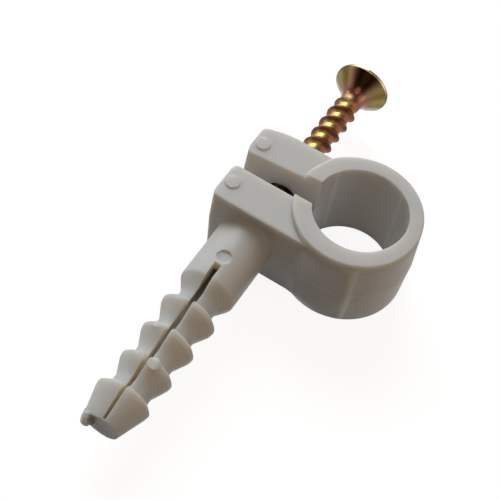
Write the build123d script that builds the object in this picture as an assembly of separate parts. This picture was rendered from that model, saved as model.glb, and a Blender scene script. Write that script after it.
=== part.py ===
from build123d import *
import os
from math import atan2, cos, radians, sin, sqrt, tan

# Screw cable clip: a split ring with two lugs and a barbed wall plug moulded in one piece,
# closed by a countersunk wood screw that runs through the lugs into the plug.
# Millimetres. The origin is on the bore axis at the ring's lower face. The bore runs along +Z,
# the screw along Y with its head at +Y, the wall is towards -Y and the lugs reach towards -X.

# Ring, with its wall measured at the mould's parting plane halfway up
BORE_D = 13.0
RING_WALL = 2.5
RING_WIDTH = 13.8
RING_SHIFT = 0.3
RING_SHIFT_ANGLE = 230.0
RING_EDGE = 0.2

# Lugs, the gap between them and the foot under the ring
DRAFT = 2.5
LUG_STEP = 0.85
LUG_EDGE = 0.18
LUG_REACH = 17.85
LUG_CORNER = 0.8
WALL_FACE = 8.5
LOWER_LUG = 5.85
GAP_AT_SCREW = 3.15
GAP_FLARE = 4.8
UPPER_LUG = 5.4
UPPER_FALL = 1.1
UPPER_FALL_START = 0.45
UPPER_FALL_ROUND = 0.55
FOOT_REACH = 3.9
FOOT_RISE = 0.5
FOOT_BLEND = 4.6
FOOT_END_ANGLE = 62.0
FOOT_CORNER = 1.0

# Wall plug, with lengths counted from the wall face
SCREW_X = 11.6
PLUG_D = 8.0
PLUG_ROOT_FILLET = 1.0
SHANK_LENGTH = 9.8
SHANK_CONE = 2.1
BARB_COUNT = 4
BARB_FIRST = 13.7
BARB_PITCH = 4.73
BARB_D = 7.9
BARB_D_LAST = 7.3
BARB_ROOT_D = 5.3
BARB_LAND = 1.0
BARB_LAND_FALL = 0.12
BARB_CONE = 2.2
BARB_EDGE = 0.45
BARB_ROUND = 1.0
TIP_LENGTH = 5.0
TIP_D = 4.3
SLIT_START = 7.5
SLIT_START_WIDTH = 1.05
SLIT_END_WIDTH = 0.4

# Marks of the mould: raised pin marks on the lugs and on two barbs, a sunk one on the shank and the gate
PIN_MARK_D = 2.0
PIN_MARK_H = 0.25
PIN_MARK_INSET = 1.6
PIN_MARK_SPREAD = 7.75
SHANK_MARK_D = 2.0
SHANK_MARK_DEPTH = 0.35
SHANK_MARK_PLACE = 6.2
BARB_MARK_D = 1.6
BARB_MARK_SIDE = 1.2
BARB_DOT_D = 0.9
BARB_DOT_SIDE = 1.75
BARB_MARK_H = 0.1
BARB_MARK_PLACE = 0.7
BARB_MARK_CLEAR = 0.03
GATE_D = 1.5
GATE_REACH = 2.8
GATE_BACK = 0.2
GATE_ROUND = 0.4

# Screw, its shank as wide as the crest of the thread
SCREW_LENGTH = 40.0
SCREW_OUT = 18.3
THREAD_D = 4.0
HEAD_D = 8.4
HEAD_RIM = 0.4
HEAD_CONE = 90.0
NECK_D = 3.1
NECK_LENGTH = 0.7
RUN_OUT = 1.2
POINT_LENGTH = 5.5
POINT_D = 0.4
RECESS_D = 4.6
RECESS_SLOT = 1.0
RECESS_DEPTH = 2.2

# Clearances of the screw in the clip
LUG_HOLE_CLEAR = 0.25
PLUG_BORE_CLEAR = 0.12
HEAD_CLEAR = 0.1

# Places that several features share
MID_Z = RING_WIDTH / 2
LUG_HALF = MID_Z - LUG_STEP
BORE_R = BORE_D / 2
RING_R = BORE_R + RING_WALL
GAP_LOW = -WALL_FACE + LOWER_LUG
GAP_HIGH = GAP_LOW + GAP_AT_SCREW
GAP_SLOPE = tan(radians(GAP_FLARE))
UPPER_FACE = GAP_HIGH + UPPER_LUG
PLUG_R = PLUG_D / 2
PLUG_END = BARB_FIRST + (BARB_COUNT - 1) * BARB_PITCH + TIP_LENGTH
THREAD_R = THREAD_D / 2
HEAD_TOP = UPPER_FACE + SCREW_OUT
NECK_TOP = -HEAD_RIM - (HEAD_D - NECK_D) / 2 / tan(radians(HEAD_CONE / 2))
NECK_END = NECK_TOP - NECK_LENGTH


def drafted(profile, half_height, draft=DRAFT):
    """Prism about the parting plane that narrows by the draft angle towards both its faces."""
    upper = extrude(profile, amount=half_height, taper=draft)
    return upper + mirror(upper, about=Plane.XY)


def end_edges(prism, half_height):
    """Edges of the two end faces of a prism about the parting plane."""
    flats = prism.faces().filter_by(Axis.Z)
    ends = [face for face in flats if abs(abs(face.center().Z) - half_height) < LUG_STEP / 2]
    return ShapeList(edge for face in ends for edge in face.edges())


def lug_block(corners, rounds):
    """Drafted block about the parting plane, with its rims broken and some corners rounded.

    corners is the outline at the parting plane, and rounds pairs corners of it with radii.
    """
    half = extrude(make_face(Polyline(*corners, close=True)), amount=LUG_HALF, taper=DRAFT)
    for place, radius in rounds:
        rising = half.edges().filter_by(lambda edge: abs(edge.tangent_at(0.5).Z) > 0.5)
        half = fillet(rising.sort_by_distance((*place, 0))[0], radius)
    half = chamfer(half.faces().sort_by(Axis.Z)[-1].edges(), LUG_EDGE)
    return half + mirror(half, about=Plane.XY)


def turned(points):
    """Solid of revolution about Z from the (radius, height) points of its half section."""
    return revolve(make_face(Polyline([(r, 0, z) for r, z in points], close=True)), Axis.Z)


def along_screw(solid):
    """Piece made along +Z, turned to the screw axis with +Z towards the head."""
    return Pos(-SCREW_X, 0, MID_Z) * Rot(-90, 0, 0) * solid


def gap_high_at(x):
    """Height of the gap's flared upper wall at a place along the lugs."""
    return GAP_HIGH + GAP_SLOPE * (x + SCREW_X)


def ring_bore():
    """Cable bore through the ring."""
    return Cylinder(BORE_R, RING_WIDTH)


def ring_band():
    """Split ring, slightly off the bore so that its wall is thicker at the lugs."""
    turn = radians(RING_SHIFT_ANGLE)
    centre = Pos(RING_SHIFT * cos(turn), RING_SHIFT * sin(turn))
    disc = drafted(centre * Circle(RING_R), MID_Z)
    outer_x = -RING_R - RING_WALL
    gap = make_face(
        Polyline(
            (outer_x, GAP_LOW),
            (0, GAP_LOW),
            (0, gap_high_at(0)),
            (outer_x, gap_high_at(outer_x)),
            close=True,
        )
    )
    band = disc - ring_bore() - drafted(gap, MID_Z, -DRAFT)
    bore_rims = band.faces().filter_by(GeomType.CYLINDER).edges()
    return chamfer(end_edges(band, MID_Z) - bore_rims, RING_EDGE)


def lower_lug():
    """Lug on the wall side, running on under the ring as its foot."""
    foot_y = -WALL_FACE - FOOT_RISE
    turn = radians(FOOT_END_ANGLE)
    gap_corner = (-LUG_REACH, GAP_LOW)
    wall_corner = (-LUG_REACH, -WALL_FACE)
    foot_corner = (FOOT_REACH, foot_y)
    corners = [
        gap_corner,
        wall_corner,
        (-FOOT_BLEND, -WALL_FACE),
        (0, foot_y),
        foot_corner,
        (FOOT_REACH + RING_WALL * cos(turn), foot_y + RING_WALL * sin(turn)),
        (0, GAP_LOW),
    ]
    rounds = [(gap_corner, LUG_CORNER), (wall_corner, LUG_CORNER), (foot_corner, FOOT_CORNER)]
    return lug_block(corners, rounds)


def upper_lug():
    """Lug under the screw head, falling away in a soft bend towards its end."""
    inner_x = -BORE_R / 2
    bend_x = -SCREW_X - (LUG_REACH - SCREW_X) * UPPER_FALL_START
    fall_run = LUG_REACH + bend_x
    bend_r = UPPER_FALL_ROUND * fall_run / tan(atan2(UPPER_FALL, fall_run) / 2)
    gap_corner = (-LUG_REACH, gap_high_at(-LUG_REACH))
    bend = (bend_x, UPPER_FACE)
    end_corner = (-LUG_REACH, UPPER_FACE - UPPER_FALL)
    corners = [gap_corner, (inner_x, gap_high_at(inner_x)), (inner_x, UPPER_FACE), bend, end_corner]
    rounds = [(bend, bend_r), (gap_corner, LUG_CORNER), (end_corner, LUG_CORNER)]
    return lug_block(corners, rounds)


def barb_shoulder(index):
    """Depth of a barb's shoulder from the wall face, with the barbs counted from 0."""
    return BARB_FIRST + index * BARB_PITCH


def barb_crest(index):
    """Radius of a barb's crest, which shrinks evenly from the first barb to the last."""
    return (BARB_D + (BARB_D_LAST - BARB_D) * index / (BARB_COUNT - 1)) / 2


def wall_plug():
    """Barbed plug turned about the screw axis, with a fillet where it leaves the wall face."""
    root_r = BARB_ROOT_D / 2
    flare_r = PLUG_R + 2 * PLUG_ROOT_FILLET
    sunk = -LUG_HALF * tan(radians(DRAFT))
    inner = -LOWER_LUG / 2
    shank_end = (PLUG_R, SHANK_LENGTH)
    points = [(0, inner), (flare_r, inner), (flare_r, sunk), (PLUG_R, sunk)]
    points += [shank_end, (root_r, SHANK_LENGTH + SHANK_CONE)]
    rounds = [shank_end]
    for index in range(BARB_COUNT):
        shoulder = barb_shoulder(index)
        crest_r = barb_crest(index)
        land_end = (crest_r - BARB_LAND_FALL, shoulder + BARB_LAND)
        points += [(root_r, shoulder), (crest_r - BARB_EDGE, shoulder), (crest_r, shoulder + BARB_EDGE)]
        points.append(land_end)
        rounds.append(land_end)
        if index < BARB_COUNT - 1:
            points.append((root_r, shoulder + BARB_LAND + BARB_CONE))
    points += [(TIP_D / 2, PLUG_END), (0, PLUG_END)]

    def corner(place):
        return section.vertices().sort_by_distance((place[0], 0, -WALL_FACE - place[1]))[0]

    section = make_face(Polyline([(r, 0, -WALL_FACE - depth) for r, depth in points], close=True))
    section = fillet(corner((PLUG_R, sunk)), PLUG_ROOT_FILLET)
    section = fillet([corner(place) for place in rounds], BARB_ROUND)
    return along_screw(revolve(section, Axis.Z))


def screw_way():
    """Everything that the screw needs free: plug bore, lug hole and countersink."""
    hole_r = THREAD_R + LUG_HOLE_CLEAR
    bore_r = THREAD_R + PLUG_BORE_CLEAR
    seat_r = HEAD_D / 2 + HEAD_CLEAR
    seat_low = UPPER_FACE - HEAD_RIM - (seat_r - hole_r) / tan(radians(HEAD_CONE / 2))
    driven_tip = UPPER_FACE - SCREW_LENGTH
    bore_end = driven_tip - 2 * PLUG_BORE_CLEAR
    gap_mid = (GAP_LOW + GAP_HIGH) / 2
    outside = UPPER_FACE + RING_WALL
    points = [
        (0, bore_end),
        (POINT_D / 2 + PLUG_BORE_CLEAR, bore_end),
        (bore_r, driven_tip + POINT_LENGTH),
        (bore_r, gap_mid),
        (hole_r, gap_mid),
        (hole_r, seat_low),
        (seat_r, UPPER_FACE - HEAD_RIM),
        (seat_r, outside),
        (0, outside),
    ]
    return along_screw(turned(points))


def plug_slit():
    """Slit that lets the two halves of the plug spread, narrowing towards the tip."""
    near = -WALL_FACE - SLIT_START
    far = -WALL_FACE - PLUG_END - GATE_D
    wide = SLIT_START_WIDTH / 2
    narrow = SLIT_END_WIDTH / 2
    outline = Polyline((-wide, near), (wide, near), (narrow, far), (-narrow, far), close=True)
    return Pos(-SCREW_X, 0, 0) * extrude(make_face(outline), amount=RING_WIDTH)


def pin_marks():
    """Round ejector pin marks that stand on the upper faces of the two lugs."""
    place_x = -LUG_REACH + PIN_MARK_INSET
    lower_y = (GAP_LOW - WALL_FACE) / 2
    low = MID_Z + LUG_HALF - LUG_EDGE
    disc = Cylinder(PIN_MARK_D / 2, LUG_EDGE + PIN_MARK_H, align=(Align.CENTER, Align.CENTER, Align.MIN))
    return [Pos(place_x, y, low) * disc for y in (lower_y, lower_y + PIN_MARK_SPREAD)]


def shank_mark():
    """Sunk ejector pin mark on top of the plug's shank."""
    floor = MID_Z + PLUG_R - SHANK_MARK_DEPTH
    disc = Cylinder(SHANK_MARK_D / 2, PLUG_R, align=(Align.CENTER, Align.CENTER, Align.MIN))
    return Pos(-SCREW_X, -WALL_FACE - SHANK_MARK_PLACE, floor) * disc


def barb_mark(index, diameter, side):
    """Ejector pin mark that stands on a barb's land beside the slit, within the round of the drilled hole."""
    crest_r = barb_crest(index)
    top = sqrt(crest_r**2 - side**2) + BARB_MARK_H
    depth = crest_r - BARB_ROOT_D / 2
    place = -WALL_FACE - barb_shoulder(index) - BARB_MARK_PLACE
    disc = Cylinder(diameter / 2, depth, align=(Align.CENTER, Align.CENTER, Align.MAX))
    disc = Pos(-SCREW_X + side, place, MID_Z + top) * disc
    hole = Pos(0, place, 0) * along_screw(Cylinder(PLUG_R - BARB_MARK_CLEAR, 2 * diameter))
    return disc & hole


def barb_marks():
    """A small mark on the second barb and a large one on the third, on the plug's two halves."""
    return [barb_mark(1, BARB_DOT_D, -BARB_DOT_SIDE), barb_mark(2, BARB_MARK_D, BARB_MARK_SIDE)]


def gate_stub():
    """Stub of the mould's gate on the side of the plug's tip, with a rounded end."""
    stub = Cylinder(GATE_D / 2, GATE_REACH - TIP_D / 4, align=(Align.CENTER, Align.CENTER, Align.MIN))
    stub = fillet(stub.faces().sort_by(Axis.Z)[-1].edges(), GATE_ROUND)
    return Pos(-SCREW_X - TIP_D / 4, -WALL_FACE - PLUG_END + GATE_BACK, MID_Z) * Rot(0, -90, 0) * stub


def clip_body():
    """The whole moulding."""
    body = Pos(0, 0, MID_Z) * (ring_band() + (lower_lug() + upper_lug() - ring_bore()))
    body = body + wall_plug() + gate_stub() + pin_marks() + barb_marks()
    return body - screw_way() - plug_slit() - shank_mark()


def screw_blank():
    """Head, neck, threaded shank and point of the screw, with the head's top at z = 0."""
    return turned(
        [
            (0, 0),
            (HEAD_D / 2, 0),
            (HEAD_D / 2, -HEAD_RIM),
            (NECK_D / 2, NECK_TOP),
            (NECK_D / 2, NECK_END),
            (THREAD_R, NECK_END - RUN_OUT),
            (THREAD_R, -SCREW_LENGTH + POINT_LENGTH),
            (POINT_D / 2, -SCREW_LENGTH),
            (0, -SCREW_LENGTH),
        ]
    )


def cross_recess():
    """Tapered cross in the head's top."""
    slot = Box(RECESS_D, RECESS_SLOT, 2 * RECESS_DEPTH) + Box(RECESS_SLOT, RECESS_D, 2 * RECESS_DEPTH)
    cone = Cone(RECESS_SLOT / 2, RECESS_D / 2, RECESS_DEPTH, align=(Align.CENTER, Align.CENTER, Align.MAX))
    return slot & cone


def screw():
    """The screw, started in the clip as it is supplied."""
    piece = screw_blank() - cross_recess()
    return Pos(0, HEAD_TOP, 0) * along_screw(piece)


os.makedirs("parts", exist_ok=True)
export_step(clip_body(), "parts/clip_body.step")
export_step(screw(), "parts/screw.step")
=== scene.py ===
import logging
from dataclasses import dataclass, field
from enum import Enum
from math import cos, pi, radians, sin, tan
from typing import Any, Sequence

import bmesh
import bpy
import numpy as np
from mathutils import Matrix, Vector


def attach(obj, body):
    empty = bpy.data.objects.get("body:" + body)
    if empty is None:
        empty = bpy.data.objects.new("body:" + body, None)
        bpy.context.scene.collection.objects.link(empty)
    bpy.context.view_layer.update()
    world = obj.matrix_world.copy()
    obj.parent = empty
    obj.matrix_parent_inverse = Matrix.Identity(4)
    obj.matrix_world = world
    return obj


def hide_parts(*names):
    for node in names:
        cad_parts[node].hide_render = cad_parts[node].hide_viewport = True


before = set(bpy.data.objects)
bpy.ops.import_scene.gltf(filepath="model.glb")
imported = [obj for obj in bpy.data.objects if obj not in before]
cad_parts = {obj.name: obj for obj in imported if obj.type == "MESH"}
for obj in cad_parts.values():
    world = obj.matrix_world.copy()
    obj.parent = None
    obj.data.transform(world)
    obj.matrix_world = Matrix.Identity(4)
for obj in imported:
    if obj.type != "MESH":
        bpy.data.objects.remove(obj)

logging.basicConfig(level=logging.INFO, format="%(levelname)s %(message)s")
log = logging.getLogger("screw_cable_clip")

MM = 0.001
TINY = 1e-12
SAME_PLACE = 1e-8
NO_LENGTH = 1e-9

# Places that several classes share, in millimetres: the axis of plug and screw, the parting plane, the gap's
# two walls with the slope of the upper one, and the end of the plug.
AXIS_X = -11.6
PARTING_Z = 6.9
GAP_LOW = -2.65
GAP_HIGH = 0.5
GAP_FLARE = 0.084
TIP_Y = -41.39

# A soft edge is a pair of values: a mask is 0 at the first and 1 at the second. A corner of a path is its
# two coordinates and how far from it the bend starts.
Edge = tuple[float, float]
Corner = tuple[float, float, float]
Colour = tuple[float, float, float]
Point = tuple[float, float, float]

WHITE: Colour = (1.0, 1.0, 1.0)
BLACK: Colour = (0.0, 0.0, 0.0)


class Body(Enum):
    """Moving bodies of the clip."""

    CLIP = "clip"
    SCREW = "screw"


class Slot(Enum):
    """Material slots of the record."""

    PLASTIC = "clip_plastic"
    STEEL = "screw_steel"


class Maths(Enum):
    """Operations that a value in a shader can take part in."""

    ADD = "ADD"
    SUBTRACT = "SUBTRACT"
    MULTIPLY = "MULTIPLY"
    LARGEST = "MAXIMUM"
    SMALLEST = "MINIMUM"
    SIZE = "ABSOLUTE"
    ANGLE = "ARCTAN2"
    SINE = "SINE"
    ROOT = "SQRT"


class Signal:
    """A shader socket that can be used in Python arithmetic."""

    def __init__(self, bench: "Bench", socket: bpy.types.NodeSocket) -> None:
        """Keep the socket and the node tree that it belongs to.

        Args:
            bench: The node tree's bench.
            socket: The output socket that carries the value.
        """
        self.bench = bench
        self.socket = socket

    def _with(self, kind: Maths, first: Any, second: Any = 0.0) -> "Signal":
        """Add one Math node.

        Args:
            kind: The operation.
            first: Left value or signal.
            second: Right value or signal.

        Returns:
            The result as a new signal.
        """
        return self.bench.out("ShaderNodeMath", {"operation": kind.value}, {0: first, 1: second})

    def __add__(self, other: Any) -> "Signal":
        """Sum."""
        return self._with(Maths.ADD, self, other)

    __radd__ = __add__

    def __sub__(self, other: Any) -> "Signal":
        """Difference."""
        return self._with(Maths.SUBTRACT, self, other)

    def __rsub__(self, other: Any) -> "Signal":
        """Difference from a plain number."""
        return self._with(Maths.SUBTRACT, other, self)

    def __mul__(self, other: Any) -> "Signal":
        """Product."""
        return self._with(Maths.MULTIPLY, self, other)

    __rmul__ = __mul__

    def __abs__(self) -> "Signal":
        """Size without sign."""
        return self._with(Maths.SIZE, self)

    def over(self, other: Any) -> "Signal":
        """Angle of the point (other, self), in radians."""
        return self._with(Maths.ANGLE, self, other)

    def distance(self, other: "Signal") -> "Signal":
        """Distance of the point (self, other) from zero."""
        return self._with(Maths.ROOT, self * self + other * other)

    def wave(self) -> "Signal":
        """Sine of the value in radians."""
        return self._with(Maths.SINE, self)

    def most(self, other: Any) -> "Signal":
        """Larger of two values."""
        return self._with(Maths.LARGEST, self, other)

    def least(self, other: Any) -> "Signal":
        """Smaller of two values."""
        return self._with(Maths.SMALLEST, self, other)

    def step(self, low: float, high: float) -> "Signal":
        """Smooth rise from 0 at low to 1 at high, or a fall where low is the larger.

        Args:
            low: Value that gives 0.
            high: Value that gives 1.

        Returns:
            The eased signal.
        """
        settings = {"interpolation_type": "SMOOTHSTEP"}
        if low <= high:
            return self.bench.out("ShaderNodeMapRange", settings, {0: self, 1: low, 2: high, 3: 0.0, 4: 1.0})
        return self.bench.out("ShaderNodeMapRange", settings, {0: self, 1: high, 2: low, 3: 1.0, 4: 0.0})


@dataclass(frozen=True)
class SoftNoise:
    """Setting of a soft noise: features in each millimetre, octaves and the share of the finer ones."""

    scale: float
    detail: float = 2.0
    roughness: float = 0.5


class Bench:
    """A node tree with one way to add a node."""

    def __init__(self, tree: bpy.types.NodeTree) -> None:
        """Empty the tree.

        Args:
            tree: Node tree of a material or of the world.
        """
        self.tree = tree
        tree.nodes.clear()

    def node(self, kind: str, settings: dict[str, Any], sockets: dict[Any, Any]) -> bpy.types.Node:
        """Add a node, set it up and feed its sockets.

        Args:
            kind: Blender's name of the node type.
            settings: Properties that are set first.
            sockets: Values, signals or sockets, by the input's name or number.

        Returns:
            The new node.
        """
        made = self.tree.nodes.new(kind)
        for name, value in settings.items():
            setattr(made, name, value)
        for key, value in sockets.items():
            if isinstance(value, Signal):
                self.tree.links.new(value.socket, made.inputs[key])
            elif isinstance(value, bpy.types.NodeSocket):
                self.tree.links.new(value, made.inputs[key])
            else:
                made.inputs[key].default_value = value
        return made

    def out(self, kind: str, settings: dict[str, Any], sockets: dict[Any, Any], name: Any = 0) -> Signal:
        """Add a node and take one of its outputs as a signal.

        Args:
            kind: Blender's name of the node type.
            settings: Properties that are set first.
            sockets: Values or links of the inputs.
            name: Name or number of the output.

        Returns:
            That output.
        """
        return Signal(self, self.node(kind, settings, sockets).outputs[name])

    def millimetres(self) -> Signal:
        """Object coordinates in millimetres.

        Returns:
            The vector signal.
        """
        place = self.out("ShaderNodeTexCoord", {}, {}, "Object")
        return self.out("ShaderNodeVectorMath", {"operation": "SCALE"}, {0: place, "Scale": 1 / MM})

    def axes(self, vector: Signal) -> tuple[Signal, Signal, Signal]:
        """Split a vector.

        Args:
            vector: The vector signal.

        Returns:
            Its x, y and z.
        """
        parts = self.node("ShaderNodeSeparateXYZ", {}, {0: vector}).outputs
        return Signal(self, parts[0]), Signal(self, parts[1]), Signal(self, parts[2])

    def noise(self, vector: Signal, soft: SoftNoise) -> Signal:
        """Soft noise about 0.5.

        Args:
            vector: Place in millimetres.
            soft: The noise's setting.

        Returns:
            The noise value.
        """
        inputs = {"Vector": vector, "Scale": soft.scale, "Detail": soft.detail, "Roughness": soft.roughness}
        return self.out("ShaderNodeTexNoise", {}, inputs)

    def blend(self, share: Any, first: Any, second: Any) -> Signal:
        """Mix two colours.

        Args:
            share: Factor, a number or a signal.
            first: Colour or signal at 0.
            second: Colour or signal at 1.

        Returns:
            The mixed colour.
        """
        settings = {"data_type": "RGBA", "blend_type": "MIX", "clamp_factor": True}
        ends = [(*c, 1.0) if isinstance(c, tuple) else c for c in (first, second)]
        return self.out("ShaderNodeMix", settings, {0: share, 6: ends[0], 7: ends[1]}, 2)


def fresh_material(name: str) -> tuple[bpy.types.Material, Bench]:
    """Start a node material.

    Args:
        name: Name of the finish.

    Returns:
        The material and its bench.
    """
    material = bpy.data.materials.new(name)
    material.use_nodes = True
    return material, Bench(material.node_tree)


@dataclass(frozen=True)
class GreyMoulding:
    """Light-grey moulded plastic, satin and a little translucent, with a lighter parting line, painted light
    in the gap, the slit and on the gate stub, painted shade on the tip's end, painted highlights in the
    cable bore and on the foot's end corner, and a painted glow in the plug's bore.
    """

    pale: Colour = (0.590, 0.588, 0.578)
    deep: Colour = (0.565, 0.561, 0.550)
    # Lighter colour of the parting line, also used for the painted highlights on the cable bore's wall and
    # on the foot's end corner.
    line_and_highlight: Colour = (0.720, 0.708, 0.685)
    # Lighter, warmer colour painted in the plug's slit, standing in for light that the shaded slit lacks.
    slit_painted_light: Colour = (0.760, 0.690, 0.610)
    # Lighter colour painted on the gap's walls, standing in for light that the shaded gap lacks.
    gap_painted_light: Colour = (0.700, 0.692, 0.675)
    # Painted shade on the plug's end face beside the gate stub.
    tip_shade: Colour = (0.30, 0.27, 0.235)
    # Pale colour painted on the gate stub as light on it, which otherwise sits in the tip's shadow.
    stub_light: Colour = (0.84, 0.83, 0.81)
    # Emitted colour of the painted glow on the plug's bore wall.
    shine: Colour = (0.036, 0.030, 0.022)
    roughness: float = 0.40
    cloud_roughness: float = 0.10
    grain_roughness: float = 0.12
    refraction: float = 1.46
    gloss: float = 0.4
    glow_share: float = 0.90
    glow_reach: Colour = (1.0, 0.78, 0.56)
    glow_depth: float = 0.0034
    cloud: SoftNoise = SoftNoise(0.22, 3.0, 0.55)
    cloud_edge: Edge = (0.3, 0.7)
    grain: SoftNoise = SoftNoise(7.0)
    grain_height: float = 0.004
    line_and_highlight_share: float = 0.7
    line_edge: Edge = (0.15, 0.03)
    line_height: float = 0.06
    # Place and width of the painted highlight, an upright band on the foot's rounded end corner.
    seam_highlight_x: float = 4.7
    seam_highlight_y: float = -8.6
    seam_highlight_edge: Edge = (0.38, 0.1)
    bore_edge: Edge = (6.65, 6.55)
    # Places and half widths, in degrees about the cable bore, of the two painted highlights on its wall.
    highlight_strips: tuple[tuple[float, float], ...] = ((145.5, 4.5), (58.5, 3.5))
    gap_margin: float = 0.06
    gap_edge: Edge = (-0.02, 0.02)
    gap_end: Edge = (-5.5, -6.5)
    slit_y: float = -16.0
    slit_half: float = 0.525
    slit_fall: float = 0.01165
    slit_margin: float = 0.03
    slit_edge: Edge = (-0.01, 0.01)
    slit_top: Edge = (-15.94, -15.98)
    # End of the plug where painted shade darkens its end face.
    tip_shade_edge: Edge = (TIP_Y + 0.06, TIP_Y + 0.03)
    tip_shade_side: Edge = (-13.7, -13.3)
    # End of the plug where the gate stub gets painted light.
    stub_light_edge: Edge = (TIP_Y + 0.5, TIP_Y + 0.3)
    stub_light_side: Edge = (-13.5, -13.9)
    plug_bore: Edge = (2.3, 2.2)
    # Stretch of the plug's bore that gets the painted glow.
    painted_glow_top: Edge = (-17.5, -21.0)
    painted_glow_foot: Edge = (-33.0, -30.5)

    def parting_line_and_seam_highlight(self, x: Signal, y: Signal, z: Signal) -> Signal:
        """Parting line halfway up and a painted highlight on the foot's rounded end corner, as one mask.

        Args:
            x: Place across the ring.
            y: Place towards the screw's head.
            z: Height.

        Returns:
            1 on the line and the painted highlight and 0 away from them.
        """
        parting = abs(z - PARTING_Z).step(*self.line_edge)
        # Painted highlight along the foot's rounded end corner.
        seam_highlight = (x - self.seam_highlight_x).distance(y - self.seam_highlight_y).step(*self.seam_highlight_edge)
        return parting.most(seam_highlight)

    def bore_painted_highlights(self, x: Signal, y: Signal) -> Signal:
        """Two upright painted highlights on the cable bore's wall.

        Args:
            x: Place across the ring.
            y: Place towards the screw's head.

        Returns:
            1 in the middle of a painted highlight.
        """
        turn = y.over(x)
        inside = x.distance(y).step(*self.bore_edge)
        highlight_strips = [abs(turn - radians(at)).step(radians(half), 0.0) for at, half in self.highlight_strips]
        return highlight_strips[0].most(highlight_strips[1]) * inside

    def painted_gap_light(self, x: Signal, y: Signal) -> Signal:
        """Walls of the gap between the lugs, where a lighter colour is painted as light in the shaded gap.

        Args:
            x: Place across the ring.
            y: Place towards the screw's head.

        Returns:
            1 on those walls.
        """
        above = y - (GAP_LOW - self.gap_margin)
        below = GAP_HIGH + self.gap_margin + (x - AXIS_X) * GAP_FLARE - y
        return above.least(below).step(*self.gap_edge) * x.step(*self.gap_end)

    def painted_slit_light(self, x: Signal, y: Signal) -> Signal:
        """Walls of the plug's slit, whose half width falls evenly from the slit's start; the lighter colour
        there is painted light in the shaded slit.

        Args:
            x: Place across the plug.
            y: Place along the plug.

        Returns:
            1 inside the slit.
        """
        half = self.slit_half + self.slit_margin - (self.slit_y - y) * self.slit_fall
        between = (half - abs(x - AXIS_X)).step(*self.slit_edge)
        return between * y.step(*self.slit_top)

    def painted_bore_glow(self, x: Signal, y: Signal, z: Signal) -> Signal:
        """Wall of the plug's bore, which gets a painted glow that stands in for daylight coming through the
        thin halves of the plug.

        Args:
            x: Place across the plug.
            y: Place along the plug.
            z: Height.

        Returns:
            1 along the middle of that bore.
        """
        inside = (x - AXIS_X).distance(z - PARTING_Z).step(*self.plug_bore)
        return inside * y.step(*self.painted_glow_top) * y.step(*self.painted_glow_foot)

    def skin_colour(self, bench: Bench, x: Signal, y: Signal, cloud: Signal, line_and_seam_highlight: Signal) -> Signal:
        """Cloudy grey with a lighter parting line, painted light on the walls of the gap and the slit and on
        the gate stub, painted highlights in the cable bore and on the foot's end corner, and painted shade
        on the tip's end face.

        Args:
            bench: The material's bench.
            x: Place across the clip.
            y: Place towards the screw's head.
            cloud: Large soft noise.
            line_and_seam_highlight: Mask of the parting line and of the painted highlight on the foot's end
                corner.

        Returns:
            The colour.
        """
        # Painted shade on the plug's end face beside the gate stub.
        tip_shade = y.step(*self.tip_shade_edge) * x.step(*self.tip_shade_side)
        # Painted light on the gate stub.
        stub_light = y.step(*self.stub_light_edge) * x.step(*self.stub_light_side)
        body = bench.blend(cloud, self.deep, self.pale)
        # Painted light on the gap's walls.
        body = bench.blend(self.painted_gap_light(x, y), body, self.gap_painted_light)
        # Painted light on the slit's walls.
        body = bench.blend(self.painted_slit_light(x, y), body, self.slit_painted_light)
        body = bench.blend(tip_shade, body, self.tip_shade)
        body = bench.blend(stub_light, body, self.stub_light)
        # Painted highlights on the cable bore's wall.
        body = bench.blend(self.bore_painted_highlights(x, y) * self.line_and_highlight_share, body, self.line_and_highlight)
        return bench.blend(line_and_seam_highlight * (self.line_and_highlight_share - self.line_and_highlight_share * tip_shade), body, self.line_and_highlight)

    def material(self) -> bpy.types.Material:
        """Make the finish.

        Returns:
            The material.
        """
        material, bench = fresh_material("light_grey_moulding")
        place = bench.millimetres()
        x, y, z = bench.axes(place)
        cloud = bench.noise(place, self.cloud).step(*self.cloud_edge)
        grain = bench.noise(place, self.grain)
        line_and_seam_highlight = self.parting_line_and_seam_highlight(x, y, z)
        dull = self.roughness + self.cloud_roughness * (cloud - 0.5) + self.grain_roughness * (grain - 0.5)
        relief = line_and_seam_highlight * self.line_height + grain * self.grain_height
        bump = bench.out("ShaderNodeBump", {}, {"Strength": 1.0, "Distance": MM, "Height": relief})
        shader = bench.node(
            "ShaderNodeBsdfPrincipled",
            {},
            {
                "Base Color": self.skin_colour(bench, x, y, cloud, line_and_seam_highlight),
                "Roughness": dull,
                "Normal": bump,
                # Painted glow on the plug's bore wall.
                "Emission Color": bench.blend(self.painted_bore_glow(x, y, z), BLACK, self.shine),
                "Emission Strength": 1.0,
                "IOR": self.refraction,
                "Specular IOR Level": self.gloss,
                "Subsurface Weight": self.glow_share,
                "Subsurface Radius": self.glow_reach,
                "Subsurface Scale": self.glow_depth,
            },
        )
        bench.node("ShaderNodeOutputMaterial", {}, {"Surface": shader.outputs[0]})
        return material


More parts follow.
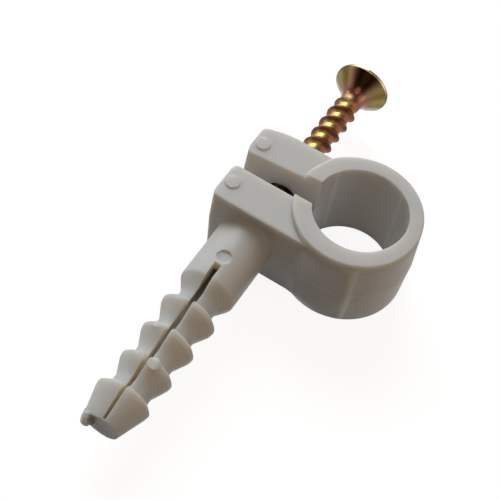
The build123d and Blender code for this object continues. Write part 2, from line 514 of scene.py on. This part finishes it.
@dataclass(frozen=True)
class YellowZinc:
    """Yellow-passivated zinc on steel, with a thin film between olive, straw, copper, rose and plum; one
    side of the head is a painted dark reflection, the rim and one side of the shank's turns carry painted
    highlights, and the part inside the clip has painted shade.
    """

    olive: Colour = (0.150, 0.106, 0.026)
    straw: Colour = (0.40, 0.330, 0.115)
    copper: Colour = (0.23, 0.086, 0.038)
    rose: Colour = (0.24, 0.090, 0.080)
    plum: Colour = (0.12, 0.040, 0.033)
    # Pale painted highlight on one side of the head's rim, and the dark painted reflection on the rest of
    # the rim.
    rim_highlight_colour: Colour = (0.52, 0.450, 0.250)
    rim_dark_reflection: Colour = (0.085, 0.060, 0.018)
    swirl: SoftNoise = SoftNoise(0.75, 3.0, 0.6)
    drift: float = 0.3
    streaks: float = 9.0
    streak_bend: float = 2.5
    streak_share: float = 0.35
    # Side of the head that is painted plum as a dark reflection.
    dark_reflection_at: float = 88.0
    dark_reflection_edge: Edge = (0.45, 0.95)
    dark_reflection_share: float = 0.9
    dark_reflection_streak: float = 0.35
    throat_edge: Edge = (3.2, 1.9)
    throat_share: float = 0.5
    throat_drift: float = 0.4
    # Side of the rim that carries the pale painted highlight.
    rim_highlight_at: float = 72.0
    rim_highlight_edge: Edge = (0.45, 0.9)
    rim_edge: Edge = (4.08, 4.16)
    # Side of the shank whose turns are painted straw as a highlight.
    highlight_side_at: float = 104.0
    highlight_side_edge: Edge = (0.68, 1.0)
    ridge_film: Edge = (0.35, 0.65)
    ridge_edge: Edge = (1.50, 1.76)
    # Where the shank enters the clip and turns plum as painted shade.
    clip_shade_edge: Edge = (9.5, 8.0)
    clip_shade_share: float = 0.85
    shank_edge: Edge = (21.1, 20.3)
    scratches: SoftNoise = SoftNoise(5.0)
    scratch_height: float = 0.01
    scratch_depth: float = 0.25
    scratch_roughness: float = 0.14
    roughness: float = 0.24
    thread_roughness: float = 0.40

    def toward(self, turn: Signal, at: float) -> Signal:
        """1 on the side at an angle about the axis, falling to -1 on the far side.

        Args:
            turn: Angle about the axis.
            at: Middle of the side, in degrees.

        Returns:
            The cosine of the angle between them.
        """
        return (turn + radians(90.0 - at)).wave()

    def head_film(self, bench: Bench, turn: Signal, radius: Signal, swirl: Signal) -> Signal:
        """Olive head with streaks, a plum side that is a painted dark reflection, a rose throat, and a rim
        with a pale painted highlight on one side and a dark painted reflection elsewhere.

        Args:
            bench: The material's bench.
            turn: Angle about the axis.
            radius: Distance from the axis.
            swirl: Soft noise.

        Returns:
            The colour.
        """
        streak = (turn * self.streaks + swirl * self.streak_bend).wave() * 0.5 + 0.5
        ground = bench.blend(streak * self.streak_share, self.olive, self.straw)
        # Painted dark reflection: one side of the head turns plum.
        side = self.toward(turn, self.dark_reflection_at) + swirl * self.drift - self.drift / 2
        shade = side.step(*self.dark_reflection_edge) * (self.dark_reflection_share - self.dark_reflection_streak * streak)
        sided = bench.blend(shade, ground, self.plum)
        deep = radius.step(*self.throat_edge) * (self.throat_share + self.throat_drift * swirl)
        throat = bench.blend(deep, sided, self.rose)
        # Painted highlight on one side of the rim; the rest of the rim is a dark painted reflection.
        rim_highlight = self.toward(turn, self.rim_highlight_at).step(*self.rim_highlight_edge)
        rim = bench.blend(rim_highlight, self.rim_dark_reflection, self.rim_highlight_colour)
        return bench.blend(radius.step(*self.rim_edge), throat, rim)

    def shank_film(self, bench: Bench, turn: Signal, radius: Signal, along: Signal, swirl: Signal) -> Signal:
        """Straw between the thread's turns on one side as a painted highlight, copper elsewhere, plum on the
        turns, and plum as painted shade on the part inside the clip.

        Args:
            bench: The material's bench.
            turn: Angle about the axis.
            radius: Distance from the axis.
            along: Place along the axis.
            swirl: Soft noise.

        Returns:
            The colour.
        """
        # Painted highlight: straw on the side of the turns that faces the light.
        side = self.toward(turn, self.highlight_side_at) + swirl * self.drift - self.drift / 2
        between = bench.blend(side.step(*self.highlight_side_edge), self.copper, self.straw)
        ridge = bench.blend(swirl.step(*self.ridge_film), self.plum, self.copper)
        outer = bench.blend(radius.step(*self.ridge_edge), between, ridge)
        # Painted shade: plum on the part of the shank inside the clip.
        return bench.blend(along.step(*self.clip_shade_edge) * self.clip_shade_share, outer, self.plum)

    def material(self) -> bpy.types.Material:
        """Make the finish.

        Returns:
            The material.
        """
        material, bench = fresh_material("yellow_zinc_steel")
        place = bench.millimetres()
        x, y, z = bench.axes(place)
        across = x - AXIS_X
        rise = z - PARTING_Z
        radius = across.distance(rise)
        turn = rise.over(across)
        swirl = bench.noise(place, self.swirl)
        head = self.head_film(bench, turn, radius, swirl)
        shank = self.shank_film(bench, turn, radius, y, swirl)
        threaded = y.step(*self.shank_edge)
        scratches = bench.noise(place, self.scratches)
        dull = self.roughness + threaded * (self.thread_roughness - self.roughness)
        marks = {"Strength": self.scratch_depth, "Distance": MM, "Height": scratches * self.scratch_height}
        shader = bench.node(
            "ShaderNodeBsdfPrincipled",
            {},
            {
                "Base Color": bench.blend(threaded, head, shank),
                "Metallic": 1.0,
                "Roughness": dull + self.scratch_roughness * (scratches - 0.5),
                "Normal": bench.out("ShaderNodeBump", {}, marks),
            },
        )
        bench.node("ShaderNodeOutputMaterial", {}, {"Surface": shader.outputs[0]})
        return material


def camera_like_rays(bench: Bench) -> Signal:
    """1 for rays that show the background: straight, mirrored or passed through.

    Args:
        bench: The node tree's bench.

    Returns:
        The mask.
    """
    path = bench.node("ShaderNodeLightPath", {}, {}).outputs
    seen = Signal(bench, path["Is Camera Ray"]).most(Signal(bench, path["Is Glossy Ray"]))
    return seen.most(Signal(bench, path["Is Transmission Ray"]))


@dataclass(frozen=True)
class PaleFloorFinish:
    """Matt floor that looks white, dims only in the object's shadow and sends back a little warm light."""

    surface: Colour = (0.06, 0.047, 0.032)
    seen_surface: Colour = (0.20, 0.20, 0.20)
    glow: Colour = (0.90, 0.90, 0.90)

    def material(self) -> bpy.types.Material:
        """Make the finish.

        Returns:
            The material.
        """
        material, bench = fresh_material("pale_floor")
        seen = camera_like_rays(bench)
        matt = bench.blend(seen, self.surface, self.seen_surface)
        cloth = bench.node("ShaderNodeBsdfDiffuse", {}, {"Color": matt})
        lift = bench.blend(seen, BLACK, self.glow)
        shine = bench.node("ShaderNodeEmission", {}, {"Color": lift})
        both = bench.node("ShaderNodeAddShader", {}, {0: cloth.outputs[0], 1: shine.outputs[0]})
        bench.node("ShaderNodeOutputMaterial", {}, {"Surface": both.outputs[0]})
        return material


def put_mesh(name: str, points: np.ndarray, faces: np.ndarray) -> bpy.types.Object:
    """Put vertices in millimetres and faces into a new object at the origin.

    Args:
        name: Name of the object.
        points: Vertices, one row each.
        faces: Vertex numbers, one row for each four-sided face.

    Returns:
        The object, linked to the scene.
    """
    mesh = bpy.data.meshes.new(name)
    mesh.from_pydata((points * MM).tolist(), [], faces.tolist())
    work = bmesh.new()
    work.from_mesh(mesh)
    bmesh.ops.remove_doubles(work, verts=work.verts, dist=SAME_PLACE)
    bmesh.ops.dissolve_degenerate(work, edges=work.edges, dist=NO_LENGTH)
    bmesh.ops.recalc_face_normals(work, faces=work.faces)
    work.to_mesh(mesh)
    work.free()
    piece = bpy.data.objects.new(name, mesh)
    bpy.context.scene.collection.objects.link(piece)
    return piece


def ease(value: np.ndarray, low: float, high: float) -> np.ndarray:
    """Smooth step: 0 before low, 1 after high and 3t^2 - 2t^3 between them.

    Args:
        value: Where to work it out.
        low: End at 0.
        high: End at 1; it may lie below low.

    Returns:
        The eased values.
    """
    t = np.clip((value - low) / (high - low), 0.0, 1.0)
    return t * t * (3.0 - 2.0 * t)


def rounded_path(corners: Sequence[Corner], step: float, bend_points: int = 5) -> np.ndarray:
    """Path through corners, each softened by a quadratic curve between points beside it.

    Args:
        corners: Each corner's two coordinates and how far from it the curve starts.
        step: Distance between points on the straight runs.
        bend_points: Points on each curve.

    Returns:
        Points of the path, one row each.
    """
    spots = np.array([c[:2] for c in corners])
    path = [spots[:1]]
    for before, here, after, (_, _, reach) in zip(spots, spots[1:], spots[2:], corners[1:]):
        start = here + (before - here) / np.linalg.norm(before - here) * reach
        end = here + (after - here) / np.linalg.norm(after - here) * reach
        path.append(run_between(path[-1][-1], start, step))
        t = np.linspace(0.0, 1.0, bend_points + 1)[1:, None]
        path.append((1 - t) ** 2 * start + 2 * t * (1 - t) * here + t**2 * end)
    path.append(run_between(path[-1][-1], spots[-1], step))
    return np.concatenate(path)


def run_between(start: np.ndarray, end: np.ndarray, step: float) -> np.ndarray:
    """Evenly spaced points from start, left out, to end.

    Args:
        start: First point.
        end: Last point.
        step: Greatest distance between points.

    Returns:
        The points, one row each.
    """
    count = max(1, int(np.ceil(np.linalg.norm(end - start) / step)))
    t = np.arange(1, count + 1)[:, None] / count
    return start + (end - start) * t


def ring_faces(rows: int, columns: int) -> np.ndarray:
    """Faces of a grid that closes on itself along its columns.

    Args:
        rows: Rows of vertices.
        columns: Vertices in each row.

    Returns:
        Four vertex numbers for each face.
    """
    row = np.arange(rows - 1)[:, None] * columns
    here = np.arange(columns)[None, :]
    after = (here + 1) % columns
    quad = np.stack([row + here, row + columns + here, row + columns + after, row + after], axis=-1)
    return quad.reshape(-1, 4)


@dataclass
class ClipMoulding:
    """Ring, lugs and wall plug: the CAD's own faces, fuller at the lugs' rims and the plug's tip."""

    node: str = "clip_body"
    crease: float = 48.0
    flat_from: float = 20.0
    flat_hold: float = 1000.0
    lean_steps: float = 400.0
    level_steps: float = 50.0
    digits: int = 8
    draft: float = 2.5
    front_fill: float = 1.3
    back_fill: float = 0.6
    lug_half: float = 6.1
    foot_edge: Edge = (-7.4, -7.9)
    foot_end: Edge = (3.0, 0.0)
    gap_near: Edge = (0.5, 0.25)
    gap_end: Edge = (-3.5, -5.0)
    head_edge: Edge = (3.6, 4.6)
    head_end: Edge = (-5.0, -7.0)
    plug_r: float = 4.0
    seat_r: float = 4.4
    shoulder_y: float = -36.4
    shoulder_soft: float = 0.4
    shoulder_fill: float = 0.3
    tip_fill: float = 0.5
    tip_r: float = 2.15
    tip_slope: float = 0.345
    draw_in: float = 1.25
    slit_half: float = 0.22
    web_depth: float = 0.20
    web_inset: float = 0.006
    stub: Point = (-14.15, -41.49, 5.6)
    stub_r: Point = (0.66, 0.44, 0.66)
    stub_rows: int = 25
    stub_columns: int = 40
    finish: GreyMoulding = field(default_factory=GreyMoulding)

    def fuller_lugs(self, places: np.ndarray) -> np.ndarray:
        """How far the lugs' walls move in y, so that their rims stand fuller than the drafted solid's.

        With d = |z - PARTING_Z| tan(draft), walls that face the plug move by -front_fill d and walls that
        face the screw's head by back_fill d, each weighted by how near a place lies to that wall. The plug
        and the seat of the screw's head stay.

        Args:
            places: Vertices in millimetres.

        Returns:
            The move of each vertex along y.
        """
        x, y, z = places.T
        rise = np.abs(z - PARTING_Z)
        lift = rise * tan(radians(self.draft))
        flare = (x - AXIS_X) * GAP_FLARE
        aside = np.hypot(x - AXIS_X, z - PARTING_Z)
        off_plug = np.clip(aside - self.plug_r, 0.0, 1.0)
        off_seat = np.clip(aside - self.seat_r, 0.0, 1.0)
        at_gap = ease(x, *self.gap_end)
        foot = ease(y, *self.foot_edge) * ease(x, *self.foot_end) * off_plug * (rise < self.lug_half)
        low = ease(np.abs(y - (GAP_LOW - lift)), *self.gap_near) * at_gap
        high = ease(np.abs(y - (GAP_HIGH + flare + lift)), *self.gap_near) * at_gap
        head_side = ease(y, *self.head_edge) * ease(x, *self.head_end) * off_seat
        return lift * (self.back_fill * (low + head_side) - self.front_fill * (foot + high))

    def fuller_tip(self, places: np.ndarray) -> np.ndarray:
        """How far the gate's side of the plug's tip moves in x, away from the slit.

        The move is shoulder_fill at the last barb's shoulder and grows by tip_fill towards the tip, weighted
        by the distance from the slit over the tip's radius, up to 1. What stands out beyond that radius is
        first drawn in behind the rounded stub.

        Args:
            places: Vertices in millimetres.

        Returns:
            The move of each vertex along x.
        """
        x, y, _ = places.T
        shoulder_top = self.shoulder_y + self.shoulder_soft
        along = np.clip((self.shoulder_y - y) / (self.shoulder_y - TIP_Y), 0.0, 1.0)
        radius = np.maximum(self.tip_r, self.tip_r + self.tip_slope * (y - TIP_Y))
        share = np.maximum(0.0, (AXIS_X - self.slit_half - x) / radius)
        past = ease(y, shoulder_top, self.shoulder_y - self.shoulder_soft)
        amount = self.shoulder_fill * past + self.tip_fill * along
        beyond = np.maximum(0.0, AXIS_X - radius - x) * self.draw_in
        return (beyond - amount * np.minimum(share, 1.0)) * (y < shoulder_top)

    def gate_stub(self) -> bpy.types.Object:
        """Rounded stub that the gate left at the tip.

        An ellipsoid: stub + stub_r * (sin a cos b, cos a, sin a sin b), with a from pole to pole.

        Returns:
            The piece.
        """
        fall = np.linspace(0.0, pi, self.stub_rows)[:, None]
        turn = np.arange(self.stub_columns)[None, :] * (2 * pi / self.stub_columns)
        fall, turn = np.broadcast_arrays(fall, turn)
        unit = np.stack([np.sin(fall) * np.cos(turn), np.cos(fall), np.sin(fall) * np.sin(turn)], axis=-1)
        points = np.array(self.stub) + unit.reshape(-1, 3) * np.array(self.stub_r)
        piece = put_mesh("gate_stub", points, ring_faces(self.stub_rows, self.stub_columns))
        piece.data.shade_smooth()
        return piece

    def web(self) -> bpy.types.Object:
        """Thin web that closes the slit at the very tip.

        A block between the slit's walls: x = AXIS_X -+ slit_half, y from the tip to web_depth above it and
        z = PARTING_Z -+ (tip_r + tip_slope (y - TIP_Y)), all web_inset inside the tip's own faces.

        Returns:
            The piece.
        """
        corners = np.meshgrid([-1.0, 1.0], [0.0, 1.0], [-1.0, 1.0], indexing="ij")
        side, end, level = (corner.reshape(-1) for corner in corners)
        height = self.web_inset + self.web_depth * end
        points = np.column_stack(
            [
                AXIS_X + side * self.slit_half,
                TIP_Y + height,
                PARTING_Z + level * (self.tip_r - self.web_inset + self.tip_slope * height),
            ]
        )
        sides = [(0, 1, 3, 2), (4, 6, 7, 5), (0, 4, 5, 1), (2, 3, 7, 6), (0, 2, 6, 4), (1, 5, 7, 3)]
        return put_mesh("tip_web", points, np.array(sides))

    def soft_normals(self, places: np.ndarray, faces: np.ndarray) -> np.ndarray:
        """Normals that keep flat faces flat and let the narrow chamfers between them turn smoothly.

        A corner's normal is the sum of the normals of the triangles round its vertex that lean less than
        the crease angle from its own, each weighted by its angle there, and far more where it is part of
        a large flat face.

        Args:
            places: Vertices in millimetres.
            faces: Vertex numbers of each triangle.

        Returns:
            One normal for each corner of each triangle.
        """
        spots = places[faces]
        sides = np.roll(spots, -1, axis=1) - spots
        across = np.cross(sides[:, 0], sides[:, 1])
        area = np.linalg.norm(across, axis=1) / 2
        lean = across / np.maximum(2 * area, TINY)[:, None]
        level = np.einsum("ij,ij->i", lean, spots[:, 0])
        plane = np.column_stack([lean * self.lean_steps, level * self.level_steps])
        group = np.unique(np.round(plane).astype(np.int64), axis=0, return_inverse=True)[1].reshape(-1)
        flat = np.bincount(group, weights=area)[group]
        ahead = sides / np.maximum(np.linalg.norm(sides, axis=2, keepdims=True), TINY)
        wedge = np.arccos(np.clip(-np.einsum("ijk,ijk->ij", ahead, np.roll(ahead, 1, axis=1)), -1.0, 1.0))
        owner = np.repeat(np.arange(len(faces)), 3)
        vertex = faces.reshape(-1)
        hold = np.where(flat > self.flat_from, self.flat_hold, 1.0)
        weight = wedge.reshape(-1) * hold[owner]
        order = np.argsort(vertex, kind="stable")
        count = np.bincount(vertex)
        first = np.concatenate([[0], np.cumsum(count)[:-1]])
        shared = count[vertex]
        mine = np.repeat(np.arange(len(vertex)), shared)
        offset = np.arange(len(mine)) - np.repeat(np.cumsum(shared) - shared, shared)
        theirs = order[first[vertex[mine]] + offset]
        near = np.einsum("ij,ij->i", lean[owner[mine]], lean[owner[theirs]]) > cos(radians(self.crease))
        share = lean[owner[theirs]] * (weight[theirs] * near)[:, None]
        sums = [np.bincount(mine, weights=part, minlength=len(vertex)) for part in share.T]
        total = np.stack(sums, axis=1)
        return total / np.maximum(np.linalg.norm(total, axis=1, keepdims=True), TINY)

    def skin(self) -> bpy.types.Object:
        """Copy the CAD node, merge its triangles, fill out its rims and tip and smooth its curved faces.

        Returns:
            The piece that is shown for the node.
        """
        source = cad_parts[self.node].data
        source.calc_loop_triangles()
        places = np.empty(len(source.vertices) * 3, dtype=np.float32)
        corners = np.empty(len(source.loop_triangles) * 3, dtype=np.int32)
        source.vertices.foreach_get("co", places)
        source.loop_triangles.foreach_get("vertices", corners)
        places, same = np.unique(np.round(places.reshape(-1, 3), self.digits), axis=0, return_inverse=True)
        faces = same.reshape(-1)[corners].reshape(-1, 3)
        faces = faces[(faces != np.roll(faces, 1, axis=1)).all(axis=1)]
        moved = places / MM
        moved[:, 1] += self.fuller_lugs(places / MM)
        moved[:, 0] += self.fuller_tip(places / MM)
        places = moved * MM
        mesh = bpy.data.meshes.new("clip_moulding")
        mesh.from_pydata(places.tolist(), [], faces.tolist())
        mesh.shade_smooth()
        mesh.update()
        mesh.normals_split_custom_set(self.soft_normals(places / MM, faces).tolist())
        piece = bpy.data.objects.new("clip_moulding", mesh)
        bpy.context.scene.collection.objects.link(piece)
        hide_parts(self.node)
        return piece

    def dress(self, pieces: Sequence[bpy.types.Object]) -> None:
        """Give the pieces the moulding's finish and let them ride on the clip.

        Args:
            pieces: Pieces of the moulding.
        """
        material = self.finish.material()
        for piece in pieces:
            piece.data.materials.clear()
            piece.data.materials.append(material)
            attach(piece, Body.CLIP.value)
            log.info("%s: %d vertices", piece.name, len(piece.data.vertices))

    def build(self) -> None:
        """Make and dress the moulding."""
        self.dress([self.skin(), self.web(), self.gate_stub()])


@dataclass
class WoodScrew:
    """Countersunk wood screw with a rolled thread and a cross recess, in millimetres along its axis."""

    node: str = "screw"
    head_top: float = 24.2
    length: float = 40.0
    head_r: float = 4.2
    rim: float = 0.4
    rim_inset: float = 0.14
    rim_bend: float = 0.12
    neck_r: float = 1.6
    neck_end: float = 4.2
    neck_bend: float = 1.15
    neck_foot_bend: float = 0.02
    core_start: float = 0.4
    core_bend: float = 0.1
    crest_r: float = 1.99
    core_r: float = 1.42
    pitch: float = 2.283
    crest_at: float = 11.34
    crest_half: float = 0.02
    flank_end: float = 0.74
    straight_share: float = 0.75
    lead: float = 0.1
    run_in: float = 0.9
    point_length: float = 5.5
    point_bend: float = 0.3
    point_r: float = 0.2
    point_end: float = 0.1
    point_end_bend: float = 0.08
    recess_r: float = 2.3
    recess_half: float = 0.5
    recess_edge: Edge = (-0.05, 0.09)
    recess_depth: float = 2.2
    recess_floor_r: float = 0.5
    fine_top: float = 2.4
    fine_rows: int = 34
    plain_top: float = 2.6
    plain_rows: int = 7
    columns: int = 128
    step: float = 0.075
    sharp: float = 50.0
    finish: YellowZinc = field(default_factory=YellowZinc)

    def ridge(self, turn: np.ndarray, along: np.ndarray) -> np.ndarray:
        """Share of the thread's height, 1 on its crest.

        A place's distance to the nearest crest of the helix y = crest_at - pitch * turn / 2 pi is taken
        from the crest's half width to the end of its flank, mostly straight and a little eased.

        Args:
            turn: Angle about the axis.
            along: Distance from the head's top.

        Returns:
            The share at each place.
        """
        turns = (self.head_top - along - self.crest_at) / self.pitch + turn / (2 * pi)
        away = np.abs(turns - np.round(turns)) * self.pitch
        straight = np.clip((away - self.crest_half) / (self.flank_end - self.crest_half), 0.0, 1.0)
        eased = ease(away, self.crest_half, self.flank_end)
        return 1.0 - self.straight_share * straight - (1.0 - self.straight_share) * eased

    def recess(self, turn: np.ndarray, radius: np.ndarray) -> np.ndarray:
        """Depth of the cross recess: a cone that only the two crossing slots show.

        Args:
            turn: Angle about the axis.
            radius: Distance from the axis.

        Returns:
            The depth at each place.
        """
        cone = self.recess_depth * (self.recess_r - radius) / (self.recess_r - self.recess_floor_r)
        beside = np.minimum(np.abs(radius * np.cos(turn)), np.abs(radius * np.sin(turn)))
        inside = ease(self.recess_half - beside, *self.recess_edge)
        return np.clip(cone, 0.0, self.recess_depth) * inside

    def half_section(self) -> tuple[np.ndarray, np.ndarray]:
        """Half section of the blank, from the middle of the head's top to the point.

        Returns:
            Radius and distance from the head's top of each row.
        """
        cone_foot = self.rim + self.head_r - self.neck_r
        flat_r = self.head_r - self.rim_inset
        fine = np.linspace(0.0, self.fine_top, self.fine_rows)
        top = np.concatenate([fine, np.linspace(self.plain_top, flat_r, self.plain_rows)])
        sides = rounded_path(
            [
                (flat_r, 0.0, 0.0),
                (self.head_r, 0.0, self.rim_bend),
                (self.head_r, self.rim, self.rim_bend),
                (self.neck_r, cone_foot, self.neck_bend),
                (self.neck_r, self.neck_end, self.neck_foot_bend),
                (self.core_r, self.neck_end + self.core_start, self.core_bend),
                (self.core_r, self.length - self.point_length, self.point_bend),
                (self.point_r, self.length - self.point_end, self.point_end_bend),
                (0.0, self.length, 0.0),
            ],
            self.step,
        )
        return np.concatenate([top, sides[1:, 0]]), np.concatenate([np.zeros_like(top), sides[1:, 1]])

    def surface(self) -> np.ndarray:
        """Vertices of the screw on a grid of half section by angle.

        The blank's half section is turned about the axis; the head's top is lowered by the recess, and the
        shank's radius grows by the ridge times the thread's height, eased in below the neck and shrinking
        with the point.

        Returns:
            Vertices, one row each, ordered by row and then by angle.
        """
        radius, along = self.half_section()
        turn = np.arange(self.columns) * (2 * pi / self.columns)
        radius, turn = np.broadcast_arrays(radius[:, None], turn[None, :])
        along = np.broadcast_to(along[:, None], radius.shape)
        depth = np.where(along <= 0.0, self.recess(turn, radius), 0.0)
        start = self.neck_end - self.lead
        grown = ease(along, start, start + self.run_in)
        thinned = np.clip((self.length - along) / self.point_length, 0.0, 1.0)
        height = (self.crest_r - self.core_r) * grown * thinned
        reach = radius + height * self.ridge(turn, along)
        place = np.stack(
            [
                AXIS_X + reach * np.cos(turn),
                self.head_top - along - depth,
                PARTING_Z + reach * np.sin(turn),
            ],
            axis=-1,
        )
        return place.reshape(-1, 3)

    def dress(self, piece: bpy.types.Object) -> None:
        """Give the screw its finish and let it ride on its own body.

        Args:
            piece: The screw.
        """
        piece.data.materials.append(self.finish.material())
        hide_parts(self.node)
        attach(piece, Body.SCREW.value)
        log.info("%s: %d vertices", piece.name, len(piece.data.vertices))

    def build(self) -> None:
        """Make and dress the screw."""
        points = self.surface()
        piece = put_mesh("wood_screw", points, ring_faces(len(points) // self.columns, self.columns))
        piece.data.shade_smooth()
        piece.data.set_sharp_from_angle(angle=radians(self.sharp))
        self.dress(piece)


@dataclass
class PhotoCamera:
    """Camera at the photograph's viewing angle, in millimetres and degrees; near and far are in metres."""

    place: Point = (22.529, -90.468, 142.009)
    azimuth: float = 22.10
    elevation: float = 57.14
    roll: float = 11.25
    focal_px: float = 1211.2
    picture_px: float = 500.0
    sensor: float = 36.0
    near: float = 0.01
    far: float = 20.0

    def build(self) -> None:
        """Make the camera and set it as the scene's."""
        data = bpy.data.cameras.new("photo_camera")
        data.sensor_fit = "HORIZONTAL"
        data.sensor_width = self.sensor
        data.lens = self.sensor * self.focal_px / self.picture_px
        data.clip_start = self.near
        data.clip_end = self.far
        camera = bpy.data.objects.new("photo_camera", data)
        bpy.context.scene.collection.objects.link(camera)
        az, el, roll = radians(self.azimuth), radians(self.elevation), radians(self.roll)
        back = Vector((sin(az) * cos(el), -cos(az) * cos(el), sin(el)))
        level = Vector((cos(az), sin(az), 0.0))
        upright = back.cross(level)
        right = level * cos(roll) + upright * sin(roll)
        up = back.cross(right)
        turn = Matrix((right, up, back)).transposed().to_4x4()
        camera.matrix_world = Matrix.Translation(Vector(self.place) * MM) @ turn
        bpy.context.scene.camera = camera
        log.info("camera at %s", tuple(round(v, 4) for v in camera.location))


@dataclass(frozen=True)
class SoftLamp:
    """A broad lamp far away; at level 1 a white surface that faces it shows as white."""

    name: str
    comes_from: Point
    level: float
    spread: float
    colour: Colour

    def build(self) -> None:
        """Hang the lamp."""
        data = bpy.data.lights.new(self.name, "SUN")
        data.energy = self.level * pi
        data.angle = radians(self.spread)
        data.color = self.colour
        lamp = bpy.data.objects.new(self.name, data)
        lamp.rotation_mode = "QUATERNION"
        lamp.rotation_quaternion = Vector(self.comes_from).to_track_quat("Z", "Y")
        lamp.location = Vector(self.comes_from)
        bpy.context.scene.collection.objects.link(lamp)


@dataclass
class Studio:
    """Pale floor, a large soft light from behind, weaker ones from the sides and front, and an even fill."""

    lamps: tuple[SoftLamp, ...] = (
        SoftLamp("soft_key", (-0.38, 0.60, 0.71), 0.50, 34.0, (0.84, 0.92, 1.0)),
        SoftLamp("left_key", (-0.80, 0.42, 0.42), 0.30, 40.0, (0.97, 1.0, 0.97)),
        SoftLamp("left_fill", (-0.80, -0.48, 0.36), 0.05, 40.0, (1.0, 1.0, 0.90)),
        SoftLamp("right_fill", (0.93, 0.06, 0.36), 0.22, 60.0, (1.0, 0.81, 0.63)),
        SoftLamp("front_fill", (0.05, -0.38, 0.92), 0.115, 40.0, (1.0, 0.71, 0.42)),
    )
    fill: Colour = (0.022, 0.017, 0.012)
    ceiling: Colour = (0.30, 0.28, 0.27)
    ceiling_edge: Edge = (0.24, 0.46)
    dark: Colour = (0.012, 0.010, 0.010)
    dark_side: Point = (-0.08, -0.78, 0.62)
    dark_edge: Edge = (0.74, 0.89)
    floor_half: float = 4.0
    floor_drop: float = 0.0003
    floor_cells: int = 8
    floor_finish: PaleFloorFinish = field(default_factory=PaleFloorFinish)

    def floor(self) -> None:
        """Lay the floor just under the object."""
        cells = self.floor_cells
        across = np.linspace(-self.floor_half, self.floor_half, cells + 1)
        x, y = np.meshgrid(across, across)
        points = np.stack([x, y, np.full_like(x, -self.floor_drop)], axis=-1).reshape(-1, 3)
        corner = (np.arange(cells)[:, None] * (cells + 1) + np.arange(cells)[None, :]).reshape(-1)
        faces = np.stack([corner, corner + 1, corner + cells + 2, corner + cells + 1], axis=-1)
        mesh = bpy.data.meshes.new("floor")
        mesh.from_pydata(points.tolist(), [], faces.tolist())
        mesh.materials.append(self.floor_finish.material())
        piece = bpy.data.objects.new("floor", mesh)
        bpy.context.scene.collection.objects.link(piece)

    def world(self) -> None:
        """White background up to a grey ceiling and a dark camera side, with an even fill for the rest."""
        world = bpy.data.worlds.new("studio_world")
        world.use_nodes = True
        bench = Bench(world.node_tree)
        toward = bench.out("ShaderNodeTexCoord", {}, {}, "Generated")
        pair = {0: toward, 1: self.dark_side}
        facing = bench.out("ShaderNodeVectorMath", {"operation": "DOT_PRODUCT"}, pair, "Value")
        rise = bench.axes(toward)[2]
        overhead = bench.blend(rise.step(*self.ceiling_edge), WHITE, self.ceiling)
        shown = bench.blend(facing.step(*self.dark_edge), overhead, self.dark)
        colour = bench.blend(camera_like_rays(bench), self.fill, shown)
        light = bench.node("ShaderNodeBackground", {}, {"Color": colour, "Strength": 1.0})
        bench.node("ShaderNodeOutputWorld", {}, {"Surface": light.outputs[0]})
        bpy.context.scene.world = world

    def build(self) -> None:
        """Set up floor, lamps and world."""
        self.floor()
        for lamp in self.lamps:
            lamp.build()
        self.world()
        bpy.context.scene.view_settings.view_transform = "Standard"
        log.info("studio ready")


def main() -> None:
    """Build the clip, its screw, the studio and the camera."""
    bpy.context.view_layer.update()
    ClipMoulding().build()
    WoodScrew().build()
    Studio().build()
    PhotoCamera().build()
    log.info("boxes written")


if __name__ == "__main__":
    main()
